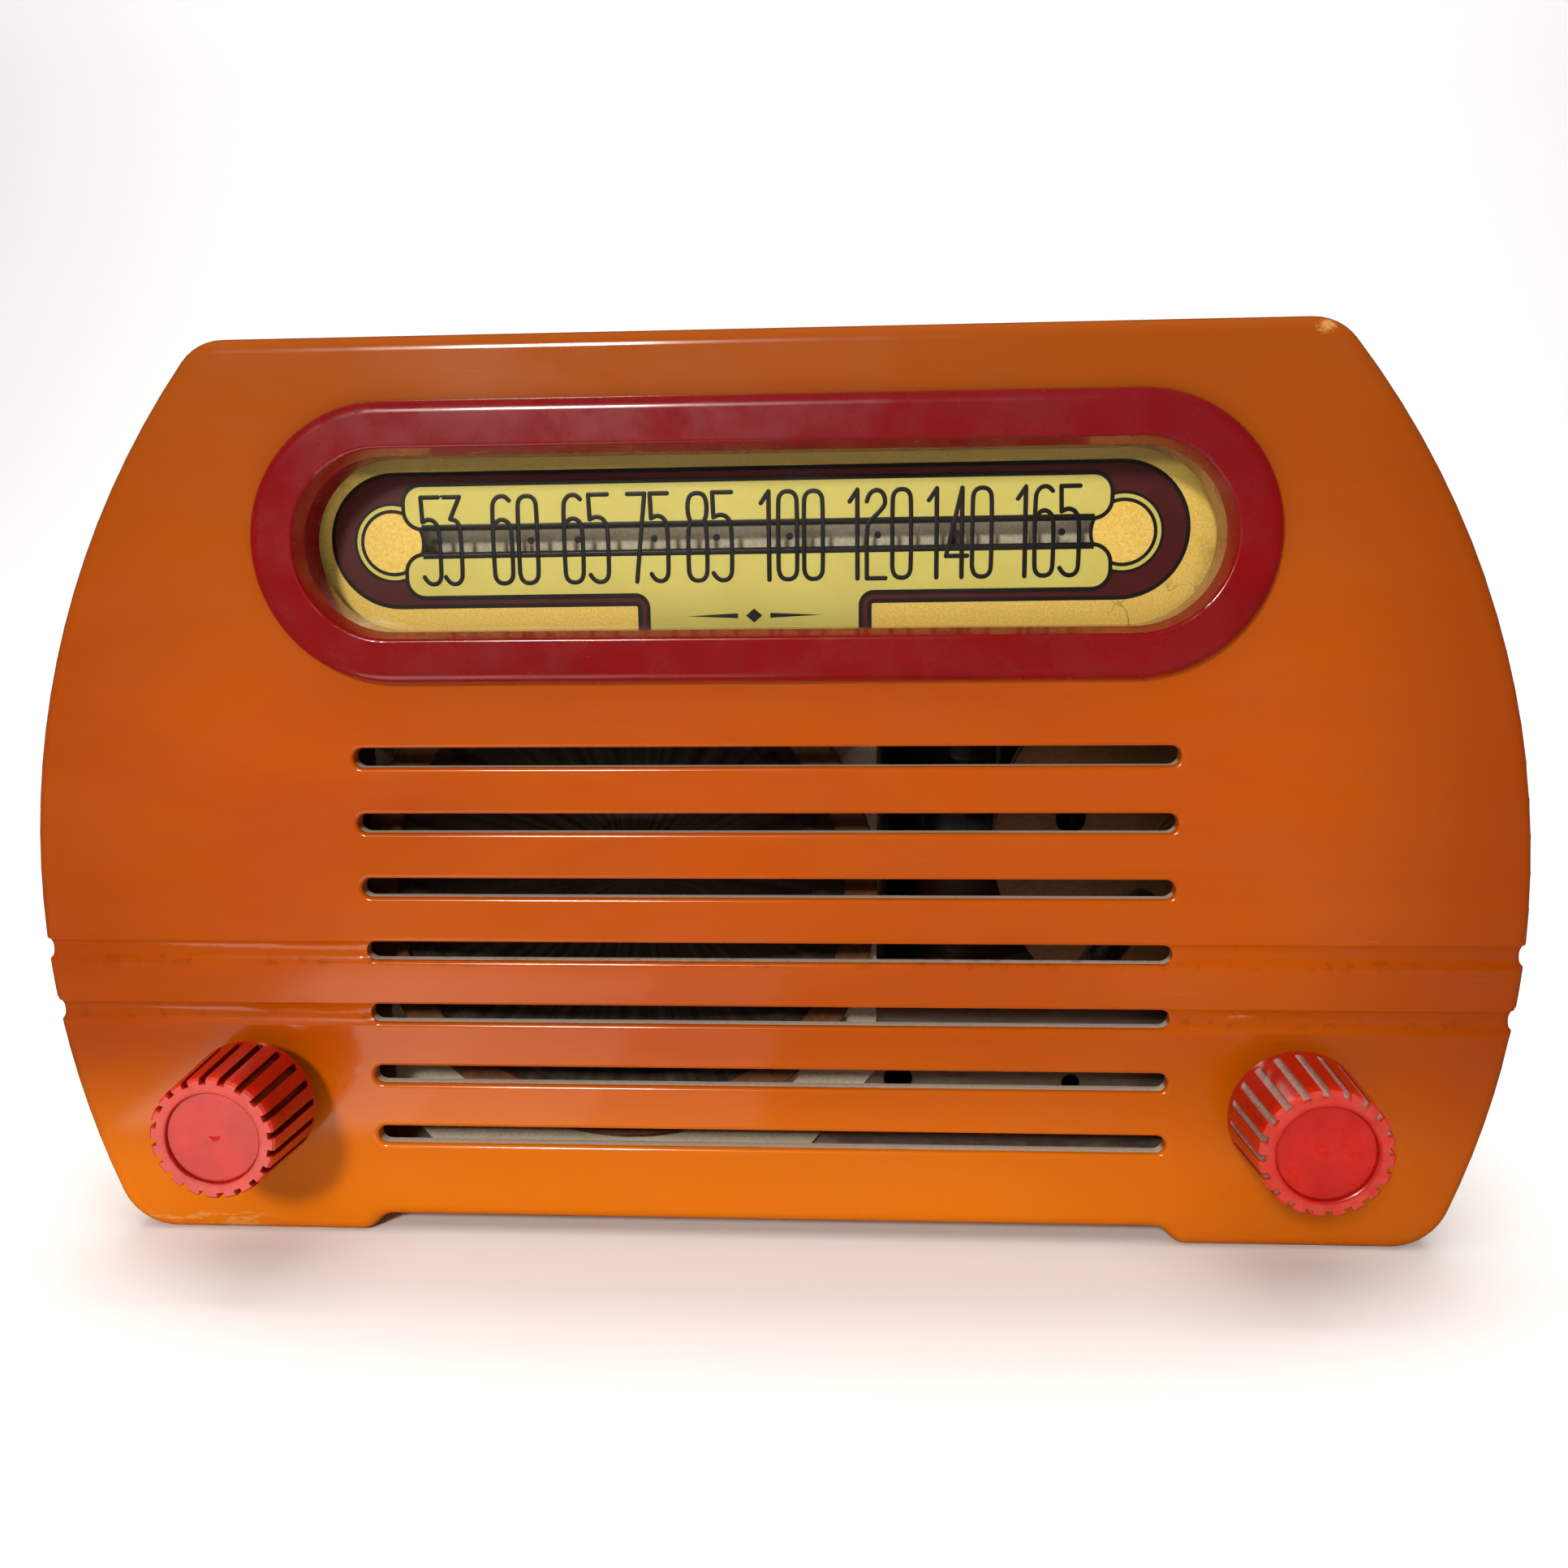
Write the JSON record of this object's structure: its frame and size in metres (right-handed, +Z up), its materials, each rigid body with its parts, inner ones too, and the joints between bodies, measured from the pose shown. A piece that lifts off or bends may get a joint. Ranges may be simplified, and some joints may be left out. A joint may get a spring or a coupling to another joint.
{
  "type": "table radio",
  "caption": "Compact table radio: barrel-shaped cast-phenolic cabinet, slide-rule dial in a red oval bezel, louvred loudspeaker front and two fluted knobs.",
  "frame": {"origin": "centre of the bounding box in plan, on the surface the radio stands on", "axes": "+X towards the right seen from the front, +Y from the front face to the back, +Z up"},
  "size_m": [0.279, 0.1668, 0.1703],
  "materials": {
    "catalin_case": "polished cast phenolic, amber to orange, glossy",
    "catalin_bezel": "polished dark red cast phenolic",
    "catalin_knob": "worn red cast phenolic",
    "dial_glass": "clear glass, printed on its back",
    "dial_paper": "cream card, dusty",
    "felt": "dark felt strip",
    "pointer_paint": "maroon paint on thin steel",
    "spring_steel": "blued and dulled spring steel",
    "cadmium_steel": "cadmium plated steel, tarnished",
    "shaft_steel": "turned steel",
    "brass": "turned brass",
    "drum_board": "tan fibre",
    "pulley_brass": "dull brass",
    "cord": "waxed braided cord",
    "baffle_card": "cream card",
    "gasket_cork": "brown cork board",
    "cone_paper": "dark grey-brown felted paper",
    "magnet_iron": "painted magnet",
    "capacitor_alu": "soft aluminium",
    "bakelite_brown": "brown bakelite",
    "trimmer_mica": "ceramic base with a plated plate",
    "tube_glass": "thin clear glass with a silvery getter flash",
    "electrode_metal": "carbonised nickel",
    "lamp_glass": "clear glass",
    "winding_paper": "varnished paper",
    "antenna_cotton": "cotton-covered wire",
    "back_board": "brown pressed board",
    "black_rubber": "black rubber",
    "wax_paper": "waxed paper",
    "resistor_body": "painted carbon rod",
    "wire_cloth": "cloth-covered wire"
  },
  "bodies": {
    "radio": {"cabinet": "catalin_case", "dial_bezel": "catalin_bezel", "dial_glass": "dial_glass", "dial_backplate": "dial_paper", "dial_gasket": "felt", "bezel_speed_nuts": "spring_steel", "glass_clips": "spring_steel", "chassis": "cadmium_steel", "dial_brackets": "cadmium_steel", "pulley_studs": "cadmium_steel", "control_nuts": "cadmium_steel", "speaker_rivets": "cadmium_steel", "chassis_bolts": "cadmium_steel", "chassis_nuts": "cadmium_steel", "chassis_washers": "cadmium_steel", "transformer_core": "cadmium_steel", "dial_lamp_holder": "cadmium_steel", "back_cover_screws": "cadmium_steel", "speaker_frame": "cadmium_steel", "tuning_bush": "brass", "dial_cord": "cord", "speaker_baffle": "baffle_card", "speaker_gasket": "gasket_cork", "speaker_cone": "cone_paper", "speaker_dust_cap": "cone_paper", "speaker_magnet": "magnet_iron", "capacitor_frame": "capacitor_alu", "capacitor_stators": "capacitor_alu", "if_cans": "capacitor_alu", "filter_capacitor": "capacitor_alu", "capacitor_insulators": "bakelite_brown", "tube_sockets": "bakelite_brown", "tube_bases": "bakelite_brown", "terminal_strips": "bakelite_brown", "volume_control": "bakelite_brown", "trimmers": "trimmer_mica", "tube_glass": "tube_glass", "tube_electrodes": "electrode_metal", "dial_lamp": "lamp_glass", "transformer_winding": "winding_paper", "loop_antenna": "antenna_cotton", "back_cover": "back_board", "mains_grommet": "black_rubber", "paper_capacitors": "wax_paper", "resistors": "resistor_body", "hookup_wires": "wire_cloth"},
    "volume": {"volume_knob": "catalin_knob", "volume_shaft": "shaft_steel", "volume_knob_spring": "spring_steel"},
    "tuning": {"tuning_knob": "catalin_knob", "tuning_shaft": "shaft_steel", "tuning_knob_spring": "spring_steel", "shaft_clip": "spring_steel"},
    "rotor": {"tuning_drum": "drum_board", "capacitor_rotor": "capacitor_alu", "cord_spring": "spring_steel"},
    "pointer": {"pointer": "pointer_paint"},
    "pulley_left": {"pulley_left": "pulley_brass"},
    "pulley_right": {"pulley_right": "pulley_brass"},
    "pulley_lower": {"pulley_lower": "pulley_brass"}
  },
  "joints": [
    {"name": "rotor_turn", "type": "hinge", "parent": "radio", "child": "rotor", "pos_m": [0.0826, 0, 0.0746], "axis": [0, 1, 0], "range_deg": [-150, 30]},
    {"name": "tuning_turn", "type": "hinge", "parent": "radio", "child": "tuning", "pos_m": [0.0978, 0, 0.0293], "axis": [0, 1, 0], "range_deg": [-1803.3, 360.7]},
    {"name": "pointer_slide", "type": "slide", "parent": "radio", "child": "pointer", "axis": [1, 0, 0], "range_m": [-0.09694, 0.01939]},
    {"name": "pulley_left_turn", "type": "hinge", "parent": "radio", "child": "pulley_left", "pos_m": [-0.084, 0, 0.134], "axis": [0, 1, 0], "range_deg": [-1013.5, 202.7]},
    {"name": "pulley_right_turn", "type": "hinge", "parent": "radio", "child": "pulley_right", "pos_m": [0.103, 0, 0.134], "axis": [0, 1, 0], "range_deg": [-1013.5, 202.7]},
    {"name": "pulley_lower_turn", "type": "hinge", "parent": "radio", "child": "pulley_lower", "pos_m": [0.04024, 0, 0.12304], "axis": [0, 1, 0], "range_deg": [-202.7, 1013.5]},
    {"name": "volume_turn", "type": "hinge", "parent": "radio", "child": "volume", "pos_m": [-0.0978, 0, 0.0293], "axis": [0, 1, 0], "range_deg": [0, 300]}
  ],
  "couplings": [
    {"joint": "tuning_turn", "follows": "rotor_turn", "ratio": 11.974},
    {"joint": "pointer_slide", "follows": "rotor_turn", "m_per_rad": 0.03688},
    {"joint": "pulley_left_turn", "follows": "rotor_turn", "ratio": 6.7299},
    {"joint": "pulley_right_turn", "follows": "rotor_turn", "ratio": 6.7299},
    {"joint": "pulley_lower_turn", "follows": "rotor_turn", "ratio": -6.7299}
  ]
}
